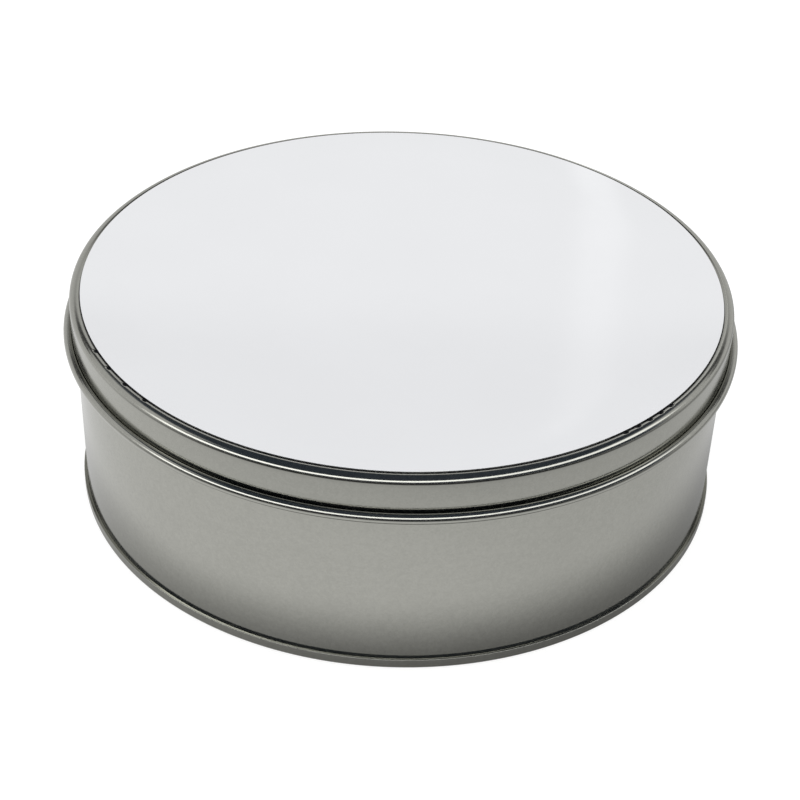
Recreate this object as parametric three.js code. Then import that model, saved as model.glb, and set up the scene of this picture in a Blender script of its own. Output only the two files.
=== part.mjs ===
// Round slip-lid tin with a white-coated plate set into the top of its lid.
// Millimetres, +Z up. The origin is on the tin's axis, in the plane that the tin stands on.
import * as THREE from 'three';

// Driving dimensions
const HEIGHT = 62.0;               // standing plane to the top of the plate, lid on
const WALL_RADIUS = 92.1;          // outside of the body's wall
const PLATE_RADIUS = 90.0;         // the plate set into the lid
const PLATE_THICKNESS = 0.5;
const SHEET = 0.3;                 // tinplate thickness
const LID_CLEARANCE = 0.65;        // body's wall to the inside of the lid's wall
const LID_DEPTH = 11.35;           // top of the plate down to the centre of the lid's curl
const LID_CURL_RADIUS = 1.28;      // outside of the curl at the lid's lower edge, sideways
const LID_CURL_RISE = 1.45;        // the same upwards, as the curl is a little taller than wide
const BEAD_RADIUS = 1.8;           // outside of the bead round the lid's recess
const BEAD_DROP = 0.12;            // top of the plate down to the bead's crest
const SEAM_HEIGHT = 2.9;           // double seam at the foot of the body
const BODY_CURL_RADIUS = 0.8;      // outside of the curl at the body's top edge
const BASE_PANEL_HEIGHT = 3.2;     // underside of the base near its rim
const BASE_CENTRE_HEIGHT = 2.4;    // underside of the base inside its step
const BASE_STEP_RADIUS = 80.0;
const CHUCK_FILLET = 0.5;          // base panel to the inner wall of the double seam
const HOOK_TIP_DEPTH = 0.7;        // top of the double seam down to the tip of the body's hook
const ADHESIVE_RADIUS = 88.5;
const ADHESIVE_THICKNESS = 0.16;
const COMPOUND_THICKNESS = 0.18;

// Small distances that the fits share
const SEAM_GAP = 0.06;             // between the layers of the double seam
const TOUCH_GAP = 0.02;            // between faces that rest on each other
const BEAD_GAP = 0.06;             // body's curl to the inside of the lid's bead
const RECESS_GAP = 0.15;           // plate's edge to the wall of the lid's recess
const COMPOUND_GAP = 0.03;         // seam compound to the metal beside it
const HOOK_TIP_GAP = 0.1;          // tip of the end's hook to the bend of the body's hook
const PLATE_BEVEL = 0.1;
const SEGMENTS = 48;               // facets round each turned piece

// Heights and radii that follow from them
const PLATE_BOTTOM = HEIGHT - PLATE_THICKNESS;
const PANEL_TOP = PLATE_BOTTOM - ADHESIVE_THICKNESS - 2 * TOUCH_GAP;
const PANEL_BOTTOM = PANEL_TOP - SHEET;
const LID_INNER_RADIUS = WALL_RADIUS + LID_CLEARANCE;
const BEAD_CENTRE_RADIUS = LID_INNER_RADIUS + SHEET - BEAD_RADIUS;
const BEAD_CENTRE_HEIGHT = HEIGHT - BEAD_DROP - BEAD_RADIUS;
const LID_CURL_HEIGHT = HEIGHT - LID_DEPTH;

const DEGREE = Math.PI / 180;

const point = (radius, height) => new THREE.Vector2(radius, height);

// Points on a circular arc in the half-section, from one angle to another, counted from outwards.
function arc(centreRadius, centreHeight, radius, fromDegrees, toDegrees, steps) {
  const points = [];
  for (let i = 0; i <= steps; i += 1) {
    const angle = (fromDegrees + (toDegrees - fromDegrees) * i / steps) * DEGREE;
    points.push(point(centreRadius + radius * Math.cos(angle), centreHeight + radius * Math.sin(angle)));
  }
  return points;
}

// Unit normal on the left of the run from a to b.
function leftNormal(a, b) {
  const run = b.clone().sub(a).normalize();
  return point(-run.y, run.x);
}

// The closed outline of a bent sheet: the face that is given, then the other face back again,
// one thickness to its left. A face that starts on the axis ends on it too.
function sheetOutline(face, thickness) {
  const otherFace = face.map((corner, i) => {
    const before = leftNormal(face[Math.max(i - 1, 0)], face[Math.max(i, 1)]);
    const after = leftNormal(face[Math.min(i, face.length - 2)], face[Math.min(i + 1, face.length - 1)]);
    const mitre = before.clone().add(after).normalize();
    return mitre.multiplyScalar(thickness / mitre.dot(before)).add(corner);
  });
  const outline = [...face, ...otherFace.reverse()];
  const startsOnAxis = face[0].x === 0;
  return startsOnAxis ? outline : [...outline, face[0].clone()];
}

function turned(name, outline, colour, roughness, metalness) {
  const geometry = new THREE.LatheGeometry(outline, SEGMENTS);
  geometry.rotateX(Math.PI / 2);
  const material = new THREE.MeshStandardMaterial({ color: colour, roughness, metalness });
  const mesh = new THREE.Mesh(geometry, material);
  mesh.name = name;
  return mesh;
}

const tinplate = (name, face) => turned(name, sheetOutline(face, SHEET), 0x9b9a95, 0.35, 1.0);

// The double seam's layers, from the tin's axis outwards: chuck wall, body wall, end hook, body
// hook, seaming wall. Every layer is one sheet thick, and neighbours are one seam gap apart.
const LAYER_PITCH = SHEET + SEAM_GAP;
const CHUCK_WALL_RADIUS = WALL_RADIUS - SHEET - LAYER_PITCH;
const END_HOOK_RADIUS = WALL_RADIUS + SEAM_GAP;
const BODY_HOOK_RADIUS = END_HOOK_RADIUS + LAYER_PITCH;
const SEAM_RADIUS = BODY_HOOK_RADIUS + LAYER_PITCH + SHEET;
const HOOK_BEND_RADIUS = (BODY_HOOK_RADIUS - WALL_RADIUS) / 2;
const HOOK_BEND_CENTRE = WALL_RADIUS + HOOK_BEND_RADIUS;
const HOOK_BEND_HEIGHT = SHEET + SEAM_GAP + SHEET + HOOK_BEND_RADIUS;
const BODY_HOOK_TOP = SEAM_HEIGHT - HOOK_TIP_DEPTH;
const END_HOOK_BOTTOM = HOOK_BEND_HEIGHT + HOOK_TIP_GAP;

function bodyWall() {
  const curlRadius = WALL_RADIUS - BODY_CURL_RADIUS;
  // The curl stands in the hollow of the lid's bead, one small gap below it.
  const reach = BEAD_RADIUS - SHEET - BODY_CURL_RADIUS - BEAD_GAP;
  const curlHeight = BEAD_CENTRE_HEIGHT + Math.sqrt(reach ** 2 - (curlRadius - BEAD_CENTRE_RADIUS) ** 2);
  return tinplate('body_wall', [
    point(BODY_HOOK_RADIUS, BODY_HOOK_TOP),
    ...arc(HOOK_BEND_CENTRE, HOOK_BEND_HEIGHT, HOOK_BEND_RADIUS, 0, -180, 4),
    ...arc(curlRadius, curlHeight, BODY_CURL_RADIUS, 0, 250, 8),
  ]);
}

function baseEnd() {
  const stepWidth = BASE_PANEL_HEIGHT - BASE_CENTRE_HEIGHT;
  const filletRadius = CHUCK_WALL_RADIUS - CHUCK_FILLET;
  const filletHeight = BASE_PANEL_HEIGHT - CHUCK_FILLET;
  const footRadius = 2 * SHEET;
  const foldRadius = SHEET + HOOK_BEND_RADIUS;
  return tinplate('base_end', [
    point(0, BASE_CENTRE_HEIGHT),
    point(BASE_STEP_RADIUS, BASE_CENTRE_HEIGHT),
    point(BASE_STEP_RADIUS + stepWidth, BASE_PANEL_HEIGHT),
    ...arc(filletRadius, filletHeight, CHUCK_FILLET, 90, 0, 2),
    ...arc(CHUCK_WALL_RADIUS + footRadius, footRadius, footRadius, 180, 270, 3),
    ...arc(SEAM_RADIUS - footRadius, footRadius, footRadius, 270, 360, 3),
    ...arc(SEAM_RADIUS - foldRadius, SEAM_HEIGHT - foldRadius, foldRadius, 0, 180, 4),
    point(END_HOOK_RADIUS, END_HOOK_BOTTOM),
  ]);
}

// The compound fills the space between the tip of the body's hook and the fold of the end.
function seamCompound() {
  const inner = BODY_HOOK_RADIUS + COMPOUND_GAP;
  const outer = BODY_HOOK_RADIUS + SHEET - COMPOUND_GAP;
  const bottom = BODY_HOOK_TOP + SEAM_GAP;
  const top = bottom + COMPOUND_THICKNESS;
  const outline = [
    point(inner, bottom), point(outer, bottom), point(outer, top), point(inner, top), point(inner, bottom),
  ];
  return turned('seam_compound', outline, 0xc9c2b0, 0.8, 0.0);
}

// Stretches points upwards and downwards from the centre's height.
function taller(points, centreHeight, ratio) {
  return points.map((p) => point(p.x, centreHeight + (p.y - centreHeight) * ratio));
}

function lidShell() {
  const recessRadius = PLATE_RADIUS + RECESS_GAP;
  const beadHollow = BEAD_RADIUS - SHEET;
  const curlRadius = LID_INNER_RADIUS + LID_CURL_RADIUS;
  const curl = arc(curlRadius, LID_CURL_HEIGHT, LID_CURL_RADIUS, 180, 480, 10);
  return tinplate('lid_shell', [
    point(0, PANEL_BOTTOM),
    point(recessRadius + SHEET / 2, PANEL_BOTTOM),
    ...arc(BEAD_CENTRE_RADIUS, BEAD_CENTRE_HEIGHT, beadHollow, 96, 0, 6),
    ...taller(curl, LID_CURL_HEIGHT, LID_CURL_RISE / LID_CURL_RADIUS),
  ]);
}

function insertPlate() {
  const outline = [
    point(0, PLATE_BOTTOM),
    point(PLATE_RADIUS - PLATE_BEVEL, PLATE_BOTTOM),
    point(PLATE_RADIUS, PLATE_BOTTOM + PLATE_BEVEL),
    point(PLATE_RADIUS, HEIGHT - PLATE_BEVEL),
    point(PLATE_RADIUS - PLATE_BEVEL, HEIGHT),
    point(0, HEIGHT),
  ];
  return turned('insert_plate', outline, 0xeeeff1, 0.12, 0.0);
}

function insertAdhesive() {
  const bottom = PANEL_TOP + TOUCH_GAP;
  const top = bottom + ADHESIVE_THICKNESS;
  const outline = [point(0, bottom), point(ADHESIVE_RADIUS, bottom), point(ADHESIVE_RADIUS, top), point(0, top)];
  return turned('insert_adhesive', outline, 0xd8d8cf, 0.6, 0.0);
}

const tin = new THREE.Group();
tin.add(bodyWall(), baseEnd(), seamCompound());

const lid = new THREE.Group();
lid.add(lidShell());

const insert = new THREE.Group();
insert.add(insertPlate(), insertAdhesive());

const candleTin = new THREE.Group();
candleTin.add(tin, lid, insert);

export default candleTin;
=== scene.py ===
import math

import bpy
from mathutils import Matrix, Vector


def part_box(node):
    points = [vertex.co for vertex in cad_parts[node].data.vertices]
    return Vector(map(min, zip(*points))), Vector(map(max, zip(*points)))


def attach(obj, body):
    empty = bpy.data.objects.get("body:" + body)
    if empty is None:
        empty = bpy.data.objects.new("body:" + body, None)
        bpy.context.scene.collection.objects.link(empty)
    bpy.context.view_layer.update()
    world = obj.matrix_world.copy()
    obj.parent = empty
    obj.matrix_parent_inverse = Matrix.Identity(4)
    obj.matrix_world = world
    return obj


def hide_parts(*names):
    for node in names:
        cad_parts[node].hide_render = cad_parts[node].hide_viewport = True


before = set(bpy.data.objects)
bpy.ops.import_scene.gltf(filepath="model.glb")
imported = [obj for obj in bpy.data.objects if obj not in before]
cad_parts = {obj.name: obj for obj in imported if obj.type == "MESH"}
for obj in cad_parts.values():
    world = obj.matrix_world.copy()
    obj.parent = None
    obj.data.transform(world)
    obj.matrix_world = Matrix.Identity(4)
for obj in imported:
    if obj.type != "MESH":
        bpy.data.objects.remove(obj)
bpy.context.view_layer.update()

MM = 0.001

# Sizes that the frame gives
PLATE_LOW, PLATE_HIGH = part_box("insert_plate")
FILM_LOW, FILM_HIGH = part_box("insert_adhesive")
LID_LOW, LID_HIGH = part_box("lid_shell")
_, BASE_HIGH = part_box("base_end")
_, WALL_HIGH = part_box("body_wall")
PLATE_RADIUS, PLATE_TOP, PLATE_BOTTOM = PLATE_HIGH.x, PLATE_HIGH.z, PLATE_LOW.z
SEAM_RADIUS = BASE_HIGH.x            # outside of the double seam

# Sizes of the sheet metal, which the frame's boxes don't show
SHEET = 0.3 * MM                     # tinplate thickness
SEAM_GAP = 0.06 * MM                 # between the layers of the double seam
TOUCH_GAP = 0.02 * MM                # between faces that rest on each other
LAYER_PITCH = SHEET + SEAM_GAP
SEAM_HEIGHT = 2.9 * MM
WALL_RADIUS = WALL_HIGH.x - 2 * LAYER_PITCH      # outside of the body's wall
LID_INNER_RADIUS = WALL_RADIUS + 0.65 * MM
PANEL_BOTTOM = FILM_LOW.z - TOUCH_GAP - SHEET    # underside of the lid's recessed panel
BEAD_RADIUS = 1.8 * MM               # outside of the bead round the lid's recess
BEAD_DROP = 0.12 * MM                # top of the plate down to the bead's crest
BEAD_GAP = 0.06 * MM                 # body's curl to the inside of the bead
BEAD_CENTRE_RADIUS = LID_INNER_RADIUS + SHEET - BEAD_RADIUS
BEAD_CENTRE_HEIGHT = PLATE_TOP - BEAD_DROP - BEAD_RADIUS
LID_CURL_RADIUS = (LID_HIGH.x - LID_INNER_RADIUS) / 2
LID_CURL_RISE = 1.45 * MM            # the curl is a little taller than wide
LID_CURL_HEIGHT = LID_LOW.z + LID_CURL_RISE
BODY_CURL_RADIUS = 0.8 * MM

FRONT = -math.pi / 2                 # directions round the tin's axis, counted from +X
BACK = math.pi / 2                   # where the body's side seam is
ROUND = 288                          # even steps round each turned piece
SHARP_ANGLE = math.radians(35)       # edges that turn more than this stay sharp
AXIS_RADIUS = 1e-9                   # points nearer to the axis than this are on it


# ---------------------------------------------------------------- camera

def aim(thing, place, target, roll=0.0):
    """Stands thing at place, with its -Z towards target, turned by roll about that line."""
    turn = (target - place).to_track_quat("-Z", "Y").to_matrix().to_4x4()
    thing.matrix_world = Matrix.Translation(place) @ turn @ Matrix.Rotation(roll, 4, "Z")


def add_camera():
    elevation, roll = math.radians(32.234), math.radians(2.129)
    distance = 0.4958
    pivot = Vector((0, 0, 51.3 * MM))
    target = Vector((0.465 * MM, 0, 19.37 * MM))
    data = bpy.data.cameras.new("camera")
    data.sensor_width = 36
    data.lens = 77.94
    camera = bpy.data.objects.new("camera", data)
    bpy.context.scene.collection.objects.link(camera)
    place = pivot + distance * Vector((0, -math.cos(elevation), math.sin(elevation)))
    aim(camera, place, target, roll)
    bpy.context.scene.camera = camera


# ---------------------------------------------------------------- turned sheet metal

def arc(centre_radius, centre_height, radius, start, end, steps):
    """Points on an arc in the half-section. Angles are in degrees, counted from outwards."""
    points = []
    for i in range(steps + 1):
        angle = math.radians(start + (end - start) * i / steps)
        out, up = radius * math.cos(angle), radius * math.sin(angle)
        points.append((centre_radius + out, centre_height + up))
    return points


def line(start, end, steps):
    """Points between start and end, without either of them."""
    return [tuple(Vector(start).lerp(Vector(end), i / steps)) for i in range(1, steps)]


def left_normal(a, b):
    """The direction to the left of the run from a to b."""
    run = Vector((b[0] - a[0], b[1] - a[1])).normalized()
    return Vector((-run.y, run.x))


def other_face(face, thickness=SHEET):
    """The far face of a bent sheet, one thickness to the left of the face that is given."""
    other = []
    last = len(face) - 1
    for i, corner in enumerate(face):
        before = left_normal(face[max(i - 1, 0)], face[max(i, 1)])
        after = left_normal(face[min(i, last - 1)], face[min(i + 1, last)])
        mitre = (before + after).normalized()
        other.append(tuple(Vector(corner) + mitre * thickness / mitre.dot(before)))
    return other


def sheet_outline(face):
    """The closed outline of a bent sheet, from one of its faces."""
    return list(face) + other_face(face)[::-1]


def stations(count, marks=(), reach=0.0, step=1.0):
    """Angles round the axis: count even ones, and finer ones within reach of each mark."""
    angles = {round(2 * math.pi * i / count, 7) for i in range(count)}
    steps_out = int(reach / step)
    for mark in marks:
        near = [mark + i * step for i in range(-steps_out, steps_out + 1)]
        angles.update(round(angle % (2 * math.pi), 7) for angle in near)
    return sorted(angles)


def turned(name, outline, angles, bend=None):
    """A closed solid of revolution. bend(radius, height, angle) may move each point a little."""
    vertices, faces, rings = [], [], []
    for radius, height in outline:
        if radius < AXIS_RADIUS:
            rings.append([len(vertices)] * len(angles))
            vertices.append((0.0, 0.0, height))
            continue
        ring = []
        for angle in angles:
            r, z = bend(radius, height, angle) if bend else (radius, height)
            ring.append(len(vertices))
            vertices.append((r * math.cos(angle), r * math.sin(angle), z))
        rings.append(ring)
    on_axis = outline[0][0] < AXIS_RADIUS
    for low, high in zip(rings, rings[1:] if on_axis else rings[1:] + rings[:1]):
        for i in range(len(angles)):
            j = (i + 1) % len(angles)
            corners = [low[i], low[j], high[j], high[i]]
            face = [c for k, c in enumerate(corners) if c not in corners[:k]]
            if len(face) > 2:
                faces.append(face)
    mesh = bpy.data.meshes.new(name)
    mesh.from_pydata(vertices, [], faces)
    mesh.polygons.foreach_set("use_smooth", [True] * len(mesh.polygons))
    mesh.set_sharp_from_angle(angle=SHARP_ANGLE)
    mesh.update()
    piece = bpy.data.objects.new(name, mesh)
    bpy.context.scene.collection.objects.link(piece)
    return piece


def smooth(value, low, high):
    """0 below low, 1 above high, and a smooth rise between them. low may be above high."""
    t = min(max((value - low) / (high - low), 0.0), 1.0)
    return t * t * (3 - 2 * t)


def bump_at(angle, mark, width):
    """1 at the mark and 0 from width away, along a ring."""
    away = abs((angle - mark + math.pi) % (2 * math.pi) - math.pi)
    return 1 - smooth(away, 0, width)


def slow_wave(angle, height, turns, phase):
    """A slow unevenness round the tin, between 0 and 1, that drifts round with height."""
    drift = 30 * height
    long_wave = math.sin(turns * angle + phase + drift)
    short_wave = math.sin((2 * turns + 1) * angle - phase)
    return 0.5 + (long_wave + short_wave) / 4


BACK_DROP = 0.28 * MM
DROP_LOW, DROP_HIGH = 54 * MM, 59 * MM      # heights between which the drop comes in


def back_drop(angle, height):
    """How far the tin's top edge, and the lid's bead on it, drop at the back."""
    return BACK_DROP * smooth(math.sin(angle), -0.3, 0.5) * smooth(height, DROP_LOW, DROP_HIGH)


# The body's wall: welded along one line at the back, rolled outwards at the top, hooked at the foot.

LAP_WIDTH = 0.011          # half of the welded lap, in radians round the wall
LAP_PROUD = 0.14 * MM
WALL_HOLLOW = 0.05 * MM    # the deepest of the wall's slow unevenness
CLEAR_OF_SEAM, CLEAR_OF_CURL = 8 * MM, 50 * MM   # heights between which the wall is clear of both
CURL_BEGINS = 58 * MM


def body_wall_face():
    hook = WALL_RADIUS + SEAM_GAP + LAYER_PITCH
    bend = (hook - WALL_RADIUS) / 2
    bend_height = SHEET + LAYER_PITCH + bend
    hook_top = SEAM_HEIGHT - 0.7 * MM
    curl_radius = WALL_RADIUS - BODY_CURL_RADIUS
    reach = BEAD_RADIUS - SHEET - BODY_CURL_RADIUS - BEAD_GAP
    curl_height = BEAD_CENTRE_HEIGHT + math.sqrt(reach ** 2 - (curl_radius - BEAD_CENTRE_RADIUS) ** 2)
    return [
        (hook, hook_top),
        *arc(WALL_RADIUS + bend, bend_height, bend, 0, -180, 12),
        *line((WALL_RADIUS, bend_height), (WALL_RADIUS, curl_height), 30),
        *arc(curl_radius, curl_height, BODY_CURL_RADIUS, 0, 250, 28),
    ]


def bend_wall(radius, height, angle):
    """A wall that isn't quite round, with the welded lap proud of it and its top lower at the back."""
    above_seam = smooth(height, SEAM_HEIGHT, CLEAR_OF_SEAM)
    clear = above_seam * smooth(height, CURL_BEGINS, CLEAR_OF_CURL)
    radius -= WALL_HOLLOW * clear * slow_wave(angle, height, turns=3, phase=0.8)
    radius += LAP_PROUD * clear * bump_at(angle, BACK, LAP_WIDTH)
    return radius, height - back_drop(angle, height)


# The base: a stepped panel, a wall down inside the body, and the double seam's outer layers.

def base_end_outline():
    chuck = WALL_RADIUS - SHEET - LAYER_PITCH
    foot = 2 * SHEET
    panel, centre = 3.2 * MM, 2.4 * MM
    step_radius, soft = 80.4 * MM, 0.9 * MM
    fillet = 0.5 * MM
    corner = 0.13 * MM
    hook = WALL_RADIUS + SEAM_GAP
    hook_tip = SHEET + LAYER_PITCH + (SEAM_GAP + LAYER_PITCH) / 2 + 0.1 * MM
    hollow = (step_radius - soft * math.sin(math.radians(45)), centre + soft)
    crown = (step_radius + soft * math.sin(math.radians(45)), panel - soft)
    under = [
        (0, centre), *line((0, centre), (hollow[0], centre), 8),
        *arc(*hollow, soft, 270, 315, 6),
        *arc(*crown, soft, 135, 90, 6),
        *arc(chuck - fillet, panel - fillet, fillet, 90, 0, 8),
        *arc(chuck + foot, foot, foot, 180, 270, 9),
        *arc(SEAM_RADIUS - foot, foot, foot, 270, 360, 9),
    ]
    groove = (hook, SEAM_HEIGHT - SHEET)
    square_fold = [(SEAM_RADIUS, SEAM_HEIGHT), groove, (hook, hook_tip)]
    fold = [
        *arc(SEAM_RADIUS - corner, SEAM_HEIGHT - corner, corner, 0, 105, 6), groove, (hook, hook_tip),
    ]
    return under + fold + other_face(under + square_fold)[::-1]


SEAM_SLIMMER = 0.1 * MM    # how much slimmer the seam is away from the welded lap
LAP_IN_SEAM = 0.05         # half of the seam's thicker stretch, in radians
PANEL_WAVE = 0.12 * MM     # the highest of the base panel's slow unevenness
PANEL_EDGE, PANEL_MIDDLE = 76 * MM, 20 * MM      # radii between which that unevenness comes in


def bend_base(radius, height, angle):
    """The seam is a little thicker where the welded lap runs into it. The panel isn't quite flat."""
    if radius > WALL_RADIUS - SHEET:
        away_from_lap = 1 - bump_at(angle, BACK, LAP_IN_SEAM)
        inward = SEAM_SLIMMER * away_from_lap * smooth(radius, WALL_RADIUS, SEAM_RADIUS)
        return radius - inward, height
    inner = smooth(radius, PANEL_EDGE, PANEL_MIDDLE)
    return radius, height + PANEL_WAVE * inner * slow_wave(angle, radius, turns=2, phase=2.1)


# The lid: a recessed panel, the bead round it, a short wall and the curl at the lower edge.

RECESS_SLOPE = 36          # degrees that the recess's wall rises at
CURL_END = 494             # degrees round the curl to where the sheet ends
STAKE_STEP = math.radians(5.6)
STAKE_WIDTH = math.radians(0.75)
STAKE_DEPTH = 0.35 * MM
STAKE_TAIL = math.radians(2.8)       # a dark line of painted shade that leads from each mark towards the front
PRESSED_INNER, PRESSED_OUTER = 89.9 * MM, 91.3 * MM  # radii that the marks are pressed in between
DARK_INNER, DARK_OUTER = 89.8 * MM, 90.8 * MM        # radii that their painted shade lies between
SHADE_LINE_OUTER, SHADE_LINE_TAPER = 90.5 * MM, 0.35 * MM  # a painted shade line's outer radius, and how it narrows
LID_HOLLOW = 0.03 * MM               # the deepest of the lid wall's slow unevenness
LID_WALL_FOOT, LID_WALL_TOP = 52.5 * MM, 60 * MM
BEAD_INNER = 90.1 * MM               # radius that the bead begins at
LEFT_STAKES = [FRONT - math.radians(45) - i * STAKE_STEP for i in range(4)]
RIGHT_STAKES = [FRONT + math.radians(39) + i * STAKE_STEP / 2 for i in range(5)]
STAKES = LEFT_STAKES + RIGHT_STAKES


def lid_shell_face():
    hollow = BEAD_RADIUS - SHEET
    start = 90 + RECESS_SLOPE
    top = arc(BEAD_CENTRE_RADIUS, BEAD_CENTRE_HEIGHT, hollow, start, 0, 34)
    rise = top[0][1] - PANEL_BOTTOM
    foot = (top[0][0] - rise / math.tan(math.radians(RECESS_SLOPE)), PANEL_BOTTOM)
    curl = arc(LID_INNER_RADIUS + LID_CURL_RADIUS, 0, LID_CURL_RADIUS, 180, CURL_END, 44)
    tall = LID_CURL_RISE / LID_CURL_RADIUS
    return [
        (0, PANEL_BOTTOM), *line((0, PANEL_BOTTOM), foot, 8), foot, *line(foot, top[0], 3),
        *top,
        *line((LID_INNER_RADIUS, BEAD_CENTRE_HEIGHT), (LID_INNER_RADIUS, LID_CURL_HEIGHT), 8),
        *[(radius, LID_CURL_HEIGHT + height * tall) for radius, height in curl],
    ]


def bend_lid(radius, height, angle):
    """Stake marks in the recess's wall, a lower bead at the back, and a wall that isn't quite round."""
    from_inside = smooth(radius, PRESSED_INNER, PRESSED_INNER + 0.3 * MM)
    on_slope = from_inside * smooth(radius, PRESSED_OUTER, PRESSED_OUTER - 0.5 * MM)
    if height > PANEL_BOTTOM and on_slope > 0:
        height -= STAKE_DEPTH * on_slope * max(bump_at(angle, mark, STAKE_WIDTH) for mark in STAKES)
    height -= back_drop(angle, height) * smooth(radius, BEAD_INNER, BEAD_INNER + 0.4 * MM)
    above_curl = smooth(height, LID_WALL_FOOT, LID_WALL_FOOT + 1.5 * MM)
    clear = above_curl * smooth(height, LID_WALL_TOP, LID_WALL_TOP - 2 * MM)
    return radius - LID_HOLLOW * clear * slow_wave(angle, height, turns=4, phase=1.7), height


def in_painted_stake_shade(point):
    """Whether a point of the recess's wall lies in a mark, or in the dark line that leads from it: the
    faces that get painted shade.
    """
    angle, radius = math.atan2(point.y, point.x), math.hypot(point.x, point.y)
    if not DARK_INNER < radius < DARK_OUTER or point.z < PANEL_BOTTOM + SHEET / 2:
        return False
    for mark in STAKES:
        along = (angle - mark + math.pi) % (2 * math.pi) - math.pi
        along = -along if mark in RIGHT_STAKES else along
        in_mark = abs(along) < 0.8 * STAKE_WIDTH
        shade_line_edge = SHADE_LINE_OUTER - SHADE_LINE_TAPER * along / STAKE_TAIL
        in_shade_line = 0 < along < STAKE_TAIL and radius < shade_line_edge
        if in_mark or in_shade_line:
            return True
    return False


# The plate in the lid's recess, and the adhesive film under it

def plate_outline():
    edge = 0.09 * MM
    return [
        (0, PLATE_BOTTOM), *line((0, PLATE_BOTTOM), (PLATE_RADIUS, PLATE_BOTTOM), 6),
        *arc(PLATE_RADIUS - edge, PLATE_BOTTOM + edge, edge, 270, 360, 5),
        *arc(PLATE_RADIUS - edge, PLATE_TOP - edge, edge, 0, 90, 6),
        *line((PLATE_RADIUS, PLATE_TOP), (0, PLATE_TOP), 6), (0, PLATE_TOP),
    ]


def film_outline():
    low, high, radius = FILM_LOW.z, FILM_HIGH.z, FILM_HIGH.x
    edge = 0.05 * MM
    return [
        (0, low), *line((0, low), (radius, low), 6), (radius - edge, low), (radius, low + edge),
        (radius, high - edge), (radius - edge, high), *line((radius, high), (0, high), 6), (0, high),
    ]


# ---------------------------------------------------------------- node helpers

def plug(tree, socket, value):
    if isinstance(value, bpy.types.NodeSocket):
        tree.links.new(value, socket)
    else:
        socket.default_value = value


def calc(tree, operation, *values):
    node = tree.nodes.new("ShaderNodeMath")
    node.operation = operation
    for socket, value in zip(node.inputs, values):
        plug(tree, socket, value)
    return node.outputs[0]


def ramp(tree, value, low, high, start=0.0, end=1.0):
    """start below low, end above high, and a smooth change between them. low may be above high."""
    node = tree.nodes.new("ShaderNodeMapRange")
    node.interpolation_type = "SMOOTHSTEP"
    plug(tree, node.inputs["Value"], value)
    limits = {"From Min": low, "From Max": high, "To Min": start, "To Max": end}
    for name, limit in limits.items():
        plug(tree, node.inputs[name], limit)
    return node.outputs["Result"]


def spread(tree, value, start=0.0, end=1.0):
    """start to end over the middle of a noise's values, where nearly all of them lie."""
    return ramp(tree, value, 0.3, 0.7, start, end)


def weighted(tree, base, *terms):
    """base plus each term's value times its weight."""
    total = base
    for value, weight in terms:
        total = calc(tree, "MULTIPLY_ADD", value, weight, total)
    return total


def product(tree, first, *others):
    for other in others:
        first = calc(tree, "MULTIPLY", first, other)
    return first


def from_axis(tree, x, y):
    """The distance from the tin's axis."""
    return calc(tree, "SQRT", weighted(tree, calc(tree, "MULTIPLY", x, x), (y, y)))


def blend_values(tree, factor, a, b):
    return calc(tree, "ADD", a, calc(tree, "MULTIPLY", factor, calc(tree, "SUBTRACT", b, a)))


def object_point(tree, stretch=(1, 1, 1), shift=(0, 0, 0)):
    """The point in the object's own space, in metres, then stretched."""
    mapping = tree.nodes.new("ShaderNodeMapping")
    mapping.inputs["Location"].default_value = shift
    mapping.inputs["Scale"].default_value = stretch
    tree.links.new(tree.nodes.new("ShaderNodeTexCoord").outputs["Object"], mapping.inputs["Vector"])
    return mapping.outputs["Vector"]


def split(tree, vector):
    node = tree.nodes.new("ShaderNodeSeparateXYZ")
    tree.links.new(vector, node.inputs[0])
    return node.outputs


def noise(tree, point, scale, detail):
    node = tree.nodes.new("ShaderNodeTexNoise")
    node.inputs["Scale"].default_value = scale
    node.inputs["Detail"].default_value = detail
    tree.links.new(point, node.inputs["Vector"])
    return node.outputs["Fac"]


def shade(tree, factor, a, b):
    """A colour between a and b, each of which is a plain colour or another node's output."""
    node = tree.nodes.new("ShaderNodeMix")
    node.data_type = "RGBA"
    plug(tree, node.inputs["Factor"], factor)
    for name, colour in (("A", a), ("B", b)):
        plug(tree, node.inputs[name], (*colour, 1) if isinstance(colour, tuple) else colour)
    return node.outputs["Result"]


def add_bump(tree, shader, height, strength, distance):
    node = tree.nodes.new("ShaderNodeBump")
    node.inputs["Strength"].default_value = strength
    node.inputs["Distance"].default_value = distance
    tree.links.new(height, node.inputs["Height"])
    tree.links.new(node.outputs["Normal"], shader.inputs["Normal"])


def new_material(name, metallic=0.0):
    made = bpy.data.materials.new(name)
    made.use_nodes = True
    shader = made.node_tree.nodes["Principled BSDF"]
    shader.inputs["Metallic"].default_value = metallic
    return made, made.node_tree, shader


# ---------------------------------------------------------------- materials

TIN_DARK, TIN_LIGHT = (0.395, 0.395, 0.361), (0.443, 0.443, 0.405)
WELD_TINT, WELD_STRENGTH = (0.17, 0.18, 0.2), 0.6
# painted shade: near-black tint laid into the crevice above the lid's curl
CREVICE_SHADE_TINT = (0.02, 0.022, 0.026)
COAT_WHITE, DUST_GREY = (0.835, 0.843, 0.862), (0.55, 0.55, 0.55)
ALUMINIUM_DARK, ALUMINIUM_LIGHT = (0.34, 0.34, 0.35), (0.6, 0.6, 0.6)
# painted shade for the stake marks and the lines that lead from them: near-black metal
DENT_SHADE_DARK, DENT_SHADE_LIGHT = (0.006, 0.007, 0.009), (0.03, 0.032, 0.036)
MILK_DARK, MILK_LIGHT = (0.5, 0.49, 0.44), (0.74, 0.73, 0.67)
RUBBER_DARK, RUBBER_LIGHT = (0.42, 0.38, 0.3), (0.62, 0.58, 0.49)


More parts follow.
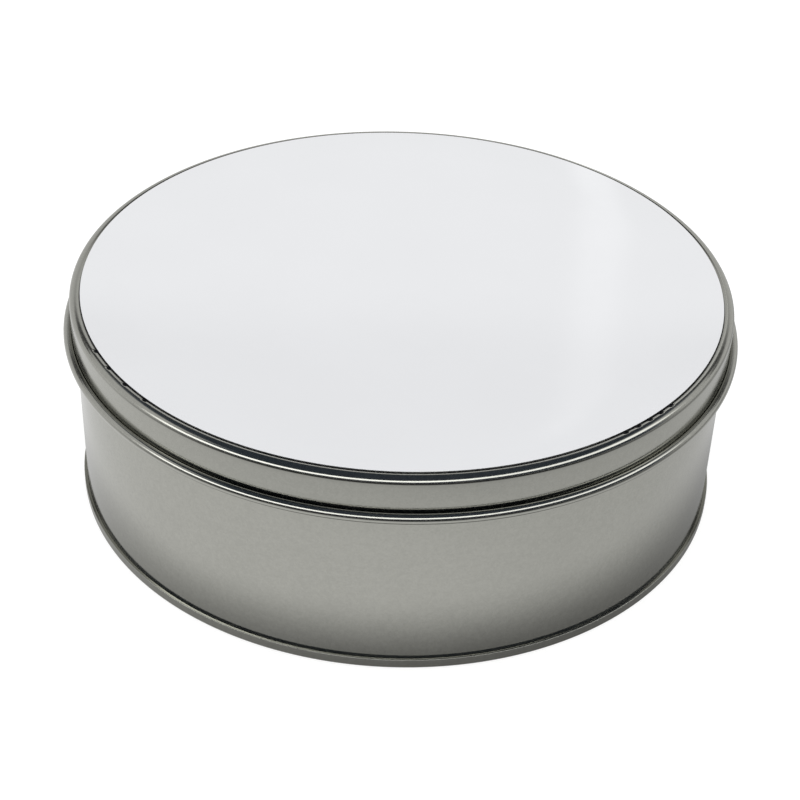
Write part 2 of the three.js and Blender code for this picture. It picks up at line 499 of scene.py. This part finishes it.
def weld_stripe(tree):
    """Above 0 along the wall's welded lap at the back, where the heat has darkened it."""
    x, y, _ = split(tree, object_point(tree))
    stripe = ramp(tree, calc(tree, "ABSOLUTE", x), low=1.5 * MM, high=0.5 * MM)
    at_back = calc(tree, "GREATER_THAN", y, 0.0)
    return product(tree, stripe, at_back, WELD_STRENGTH)


def painted_curl_crevice_shade(tree):
    """Above 0 in the crevice between the lid's wall and the inner half of its curl, and most of all
    in front. This is painted shade: it darkens the crevice, where the reflections alone leave a light
    line."""
    x, y, z = split(tree, object_point(tree))
    reach = from_axis(tree, x, y)
    centre = LID_INNER_RADIUS + LID_CURL_RADIUS
    inner_half = ramp(tree, reach, centre + 0.1 * MM, centre - 0.2 * MM)
    upper = ramp(tree, z, LID_CURL_HEIGHT + 0.3 * MM, LID_CURL_HEIGHT + 0.7 * MM)
    below = calc(tree, "LESS_THAN", z, LID_CURL_HEIGHT + LID_CURL_RISE + 0.1 * MM)
    outside = calc(tree, "GREATER_THAN", reach, LID_INNER_RADIUS + SHEET + 0.02 * MM)
    front = ramp(tree, calc(tree, "DIVIDE", y, reach), -0.75, -0.97, start=0.25, end=0.85)
    return product(tree, inner_half, upper, below, outside, front)


def tinplate(name, seed, mark=None, mark_tint=None):
    """Bright tinplate: a fine mottle and a roughness that wanders. mark gives where mark_tint
    darkens it."""
    made, tree, shader = new_material(name, metallic=1.0)
    still = object_point(tree, shift=(seed, 0, 0))
    mottle = noise(tree, still, scale=700, detail=4)
    speckle = noise(tree, still, scale=1700, detail=3)
    patches = noise(tree, still, scale=38, detail=3)
    tone = weighted(tree, 0.0, (mottle, 0.4), (speckle, 0.4), (patches, 0.2))
    colour = shade(tree, spread(tree, tone), TIN_DARK, TIN_LIGHT)
    if mark:
        colour = shade(tree, mark(tree), colour, mark_tint)
    tree.links.new(colour, shader.inputs["Base Color"])
    wear = weighted(tree, 0.0, (patches, 0.6), (mottle, 0.4))
    tree.links.new(spread(tree, wear, start=0.12, end=0.18), shader.inputs["Roughness"])
    grain = calc(tree, "ADD", noise(tree, still, scale=2600, detail=2), speckle)
    add_bump(tree, shader, grain, strength=0.1, distance=0.004 * MM)
    return made


def dust(tree, point):
    """1 at the middle of a few cells, where a speck of dust lies under the coating."""
    cells = tree.nodes.new("ShaderNodeTexVoronoi")
    cells.inputs["Scale"].default_value = 48
    tree.links.new(point, cells.inputs["Vector"])
    draw = tree.nodes.new("ShaderNodeSeparateColor")
    tree.links.new(cells.outputs["Color"], draw.inputs[0])
    chosen = calc(tree, "GREATER_THAN", draw.outputs[0], 0.86)
    return calc(tree, "MULTIPLY", ramp(tree, cells.outputs["Distance"], 0.03, 0.015), chosen)


def white_coat(name):
    """Glossy white coating with a faint orange peel and a few specks of dust under it."""
    made, tree, shader = new_material(name)
    still = object_point(tree)
    cloud = ramp(tree, noise(tree, still, scale=30, detail=2), 0.25, 0.75, start=0.965)
    tone = weighted(tree, cloud, (dust(tree, still), -0.8))
    tree.links.new(shade(tree, tone, DUST_GREY, COAT_WHITE), shader.inputs["Base Color"])
    rough = spread(tree, noise(tree, still, scale=240, detail=3), start=0.09, end=0.14)
    tree.links.new(rough, shader.inputs["Roughness"])
    peel = noise(tree, still, scale=520, detail=2)
    add_bump(tree, shader, peel, strength=0.08, distance=0.01 * MM)
    return made


def aluminium(name):
    """The plate's bare metal: its cut edge and its brushed underside."""
    made, tree, shader = new_material(name, metallic=1.0)
    along_x = object_point(tree, stretch=(60, 4000, 4000))
    brushed = noise(tree, along_x, scale=1, detail=4)
    tree.links.new(shade(tree, brushed, ALUMINIUM_DARK, ALUMINIUM_LIGHT), shader.inputs["Base Color"])
    tree.links.new(spread(tree, brushed, start=0.28, end=0.42), shader.inputs["Roughness"])
    add_bump(tree, shader, brushed, strength=0.25, distance=0.01 * MM)
    return made


def dent_shade(name):
    """Near-black, rough metal laid in the stake marks and the lines that lead from them: painted shade
    in the dents and along the plate's edge.
    """
    made, tree, shader = new_material(name, metallic=0.6)
    grain = noise(tree, object_point(tree), scale=4200, detail=3)
    tree.links.new(shade(tree, grain, DENT_SHADE_DARK, DENT_SHADE_LIGHT), shader.inputs["Base Color"])
    tree.links.new(spread(tree, grain, start=0.45, end=0.7), shader.inputs["Roughness"])
    add_bump(tree, shader, grain, strength=0.3, distance=0.01 * MM)
    return made


def adhesive(name):
    """Milky adhesive film with small trapped bubbles."""
    made, tree, shader = new_material(name)
    still = object_point(tree)
    bubbles = tree.nodes.new("ShaderNodeTexVoronoi")
    bubbles.inputs["Scale"].default_value = 260
    tree.links.new(still, bubbles.inputs["Vector"])
    bubble = ramp(tree, bubbles.outputs["Distance"], 0.3, 0.1)
    milk = spread(tree, noise(tree, still, scale=60, detail=3), start=0.6, end=1.0)
    tone = weighted(tree, milk, (bubble, -0.25))
    tree.links.new(shade(tree, tone, MILK_DARK, MILK_LIGHT), shader.inputs["Base Color"])
    rough = spread(tree, noise(tree, still, scale=300, detail=3), start=0.35, end=0.55)
    tree.links.new(rough, shader.inputs["Roughness"])
    add_bump(tree, shader, bubble, strength=0.3, distance=0.03 * MM)
    return made


def compound(name):
    """Sealing compound: a matt, slightly grainy rubber."""
    made, tree, shader = new_material(name)
    grain = noise(tree, object_point(tree), scale=3200, detail=4)
    tree.links.new(shade(tree, grain, RUBBER_DARK, RUBBER_LIGHT), shader.inputs["Base Color"])
    tree.links.new(spread(tree, grain, start=0.65, end=0.85), shader.inputs["Roughness"])
    add_bump(tree, shader, grain, strength=0.4, distance=0.03 * MM)
    return made


def dress(piece, looks, slot, body, *replaced):
    for look in looks:
        piece.data.materials.append(look)
    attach(piece, body)
    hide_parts(*replaced)


# ---------------------------------------------------------------- stage

FLOOR_SIZE, FLOOR_DROP = 6.0, 0.02 * MM          # half of a side, and how far below the tin
TABLE_SIZE, TABLE_DROP = 3.0, 0.005 * MM


def add_card(name, corners, place):
    """A flat four-sided card, with its corners counted from place."""
    mesh = bpy.data.meshes.new(name)
    mesh.from_pydata(corners, [], [(0, 1, 2, 3)])
    card = bpy.data.objects.new(name, mesh)
    bpy.context.scene.collection.objects.link(card)
    card.location = place
    return card


def add_square(name, size, drop):
    corners = [(-size, -size, 0), (size, -size, 0), (size, size, 0), (-size, size, 0)]
    return add_card(name, corners, (0, 0, -drop))


def one_sided(tree, surface):
    """Joins surface to the output, to be seen from its front only."""
    from_behind = tree.nodes.new("ShaderNodeNewGeometry").outputs["Backfacing"]
    mix = tree.nodes.new("ShaderNodeMixShader")
    tree.links.new(from_behind, mix.inputs["Fac"])
    tree.links.new(surface, mix.inputs[1])
    tree.links.new(tree.nodes.new("ShaderNodeBsdfTransparent").outputs[0], mix.inputs[2])
    tree.links.new(mix.outputs[0], tree.nodes["Material Output"].inputs["Surface"])


def add_floor():
    """A white floor that glows a little, as a light table does, so that shadows on it stay faint."""
    floor = add_square("floor", FLOOR_SIZE, FLOOR_DROP)
    made, tree, shader = new_material("floor")
    shader.inputs["Base Color"].default_value = (0.5, 0.5, 0.5, 1)
    shader.inputs["Roughness"].default_value = 0.9
    shader.inputs["Specular IOR Level"].default_value = 0.0
    shader.inputs["Emission Color"].default_value = (1, 1, 1, 1)
    shader.inputs["Emission Strength"].default_value = 0.68
    one_sided(tree, shader.outputs[0])
    floor.data.materials.append(made)


def glow_for_glossy_rays(card, level):
    """Makes the card glow, for glossy rays only. level(tree) gives how bright it is."""
    made, tree, shader = new_material(card.name)
    tree.nodes.remove(shader)
    glow = tree.nodes.new("ShaderNodeEmission")
    tree.links.new(level(tree), glow.inputs["Strength"])
    one_sided(tree, glow.outputs[0])
    made.cycles.emission_sampling = "NONE"
    card.data.materials.append(made)
    card.visible_camera = False
    card.visible_diffuse = False
    card.visible_transmission = False
    card.visible_shadow = False


TABLE_LIGHT = 0.73                   # the table's brightness beside the tin, outside its shadow
SHADOW_DEPTH = 0.36                  # share of the light that the tin takes, beside its wall
SHADOW_WIDTH = 21 * MM
TABLE_NEAR, TABLE_FAR = 45 * MM, 145 * MM        # from the near light to the far light
TABLE_END, TABLE_SIDES = 0.03, 0.6   # the far light in front, and at the sides and behind
UNDER_TIN = 0.6


def table_level(tree):
    """What the metal mirrors of the table. It is dark beside the tin, which shades it, brightest
    one tin's height away, and dark again where the table ends in front."""
    x, y, _ = split(tree, object_point(tree))
    reach = from_axis(tree, x, y)
    beyond = calc(tree, "SUBTRACT", reach, SEAM_RADIUS)
    side = calc(tree, "DIVIDE", x, reach)
    ahead = calc(tree, "MULTIPLY", calc(tree, "DIVIDE", y, reach), -1.0)
    shaded = weighted(tree, 0.0, (side, 0.5), (ahead, 0.87))
    depth = weighted(tree, SHADOW_DEPTH, (shaded, 0.42), (side, -0.08))
    width = weighted(tree, SHADOW_WIDTH, (shaded, 5 * MM), (side, 2 * MM))
    shadow = calc(tree, "MULTIPLY", depth, ramp(tree, beyond, width, 0.0))
    lit = weighted(tree, TABLE_LIGHT, (side, -0.08), (ahead, 0.1))
    near = weighted(tree, lit, (calc(tree, "MULTIPLY", lit, shadow), -1.0))
    far = ramp(tree, ahead, 0.85, -0.2, start=TABLE_END, end=TABLE_SIDES)
    far = calc(tree, "MULTIPLY", far, weighted(tree, 1.0, (side, -0.3)))
    level = blend_values(tree, ramp(tree, beyond, TABLE_NEAR, TABLE_FAR), near, far)
    return blend_values(tree, calc(tree, "LESS_THAN", beyond, 0.0), level, UNDER_TIN)


def add_mirrored_floor():
    glow_for_glossy_rays(add_square("mirrored_floor", TABLE_SIZE, TABLE_DROP), table_level)


BACK_WALL_WIDTH, BACK_WALL_TOP = 0.7, 0.42       # half of its width, and its height
BACK_WALL_Y = 0.36
BAND_X, BAND_LIGHT = 0.102, 0.5                  # a narrow band that is brighter than the wall
WALL_LIGHT, DARK_LIGHT = 0.65, 0.05              # the studio's light walls, and its darkest parts


def back_wall_level(tree):
    """A light wall under a dark top, with a narrow brighter band down it."""
    x, _, z = split(tree, object_point(tree))
    from_band = calc(tree, "ABSOLUTE", calc(tree, "SUBTRACT", x, BAND_X))
    band = ramp(tree, from_band, 0.018, 0.006)
    lit = ramp(tree, z, 0.33, 0.29)
    return weighted(tree, DARK_LIGHT, (lit, WALL_LIGHT), (band, BAND_LIGHT))


def add_back_wall():
    """What the metal mirrors of the studio behind the tin."""
    wide, tall = BACK_WALL_WIDTH, BACK_WALL_TOP
    corners = [(-wide, 0, 0), (wide, 0, 0), (wide, 0, tall), (-wide, 0, tall)]
    glow_for_glossy_rays(add_card("back_wall", corners, (0, BACK_WALL_Y, 0)), back_wall_level)


BOX_MIDDLE = 0.455                   # rise of the direction to the soft box in front
BOX_LIGHT, BOX_LIGHT_RIGHT = 2.6, 2.0


def studio_level(tree, x, y, z):
    """The light that glossy surfaces see in a direction: a long soft box in front, which rises to
    the right, light walls at the sides and behind, and a dark ceiling."""
    wall_height = weighted(tree, z, (calc(tree, "MULTIPLY", x, x), -0.6))
    wall_behind = weighted(tree, y, (x, -0.15))
    walls = product(tree, ramp(tree, wall_height, 0.62, 0.45), ramp(tree, wall_behind, -0.3, 0.1))
    box_middle = weighted(tree, BOX_MIDDLE, (x, 0.16))
    from_middle = calc(tree, "ABSOLUTE", calc(tree, "SUBTRACT", z, box_middle))
    box_front = ramp(tree, weighted(tree, y, (x, -0.2)), 0.25, -0.05)
    box = product(tree, ramp(tree, from_middle, 0.19, 0.12), box_front)
    box = calc(tree, "MULTIPLY", box, ramp(tree, x, 0.1, 0.8, start=BOX_LIGHT, end=BOX_LIGHT_RIGHT))
    return calc(tree, "MAXIMUM", calc(tree, "MULTIPLY", walls, WALL_LIGHT), box)


def add_world():
    """Soft studio light by direction. Diffuse surfaces get even light from all round, glossy ones
    see studio_level with bluish dark parts, and the camera sees a white room."""
    world = bpy.data.worlds.new("studio")
    world.use_nodes = True
    bpy.context.scene.world = world
    tree = world.node_tree
    level = studio_level(tree, *split(tree, tree.nodes.new("ShaderNodeTexCoord").outputs["Generated"]))
    tint = shade(tree, ramp(tree, level, 0.0, 0.3), (0.75, 0.95, 1.3), (1, 1, 1))
    rays = tree.nodes.new("ShaderNodeLightPath").outputs
    strength = blend_values(tree, rays["Is Glossy Ray"], 1.0, calc(tree, "ADD", level, DARK_LIGHT))
    strength = blend_values(tree, rays["Is Camera Ray"], strength, 1.0)
    background = tree.nodes["Background"].inputs
    tree.links.new(strength, background["Strength"])
    tree.links.new(shade(tree, rays["Is Glossy Ray"], (1, 1, 1), tint), background["Color"])


# ---------------------------------------------------------------- the scene

add_camera()
bpy.context.scene.view_settings.view_transform = "Standard"
add_world()
add_floor()
add_mirrored_floor()
add_back_wall()

even = stations(ROUND)
wall_angles = stations(ROUND, [BACK], reach=0.02, step=0.001)
wall = turned("tin_wall", sheet_outline(body_wall_face()), wall_angles, bend_wall)
wall_looks = [tinplate("wall_tinplate", seed=0.0, mark=weld_stripe, mark_tint=WELD_TINT)]
dress(wall, wall_looks, "body_tinplate", "tin", "body_wall")

base = turned("tin_base", base_end_outline(), even, bend_base)
dress(base, [tinplate("base_tinplate", seed=0.7)], "base_tinplate", "tin", "base_end")

lid_angles = stations(ROUND, STAKES, reach=math.radians(0.8), step=math.radians(0.1))
lid = turned("tin_lid", sheet_outline(lid_shell_face()), lid_angles, bend_lid)
# the lid's tinplate gets painted shade in the crevice above its curl
lid_tinplate = tinplate("lid_tinplate", seed=1.9, mark=painted_curl_crevice_shade, mark_tint=CREVICE_SHADE_TINT)
dress(lid, [lid_tinplate, dent_shade("stake_dent_shade")], "lid_tinplate", "lid", "lid_shell")
# the stake marks and the lines that lead from them get the painted shade
for face in lid.data.polygons:
    face.material_index = 1 if in_painted_stake_shade(face.center) else 0

plate = turned("white_plate", plate_outline(), even)
plate_looks = [white_coat("white_coat"), aluminium("bare_aluminium")]
dress(plate, plate_looks, "coated_plate", "insert", "insert_plate")
for face in plate.data.polygons:
    face.material_index = 0 if face.center.z > PLATE_TOP - 0.05 * MM else 1

film = turned("plate_film", film_outline(), even)
dress(film, [adhesive("adhesive_film")], "adhesive_film", "insert", "insert_adhesive")

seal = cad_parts["seam_compound"]
seal.data.materials.clear()
seal.data.materials.append(compound("lining_compound"))
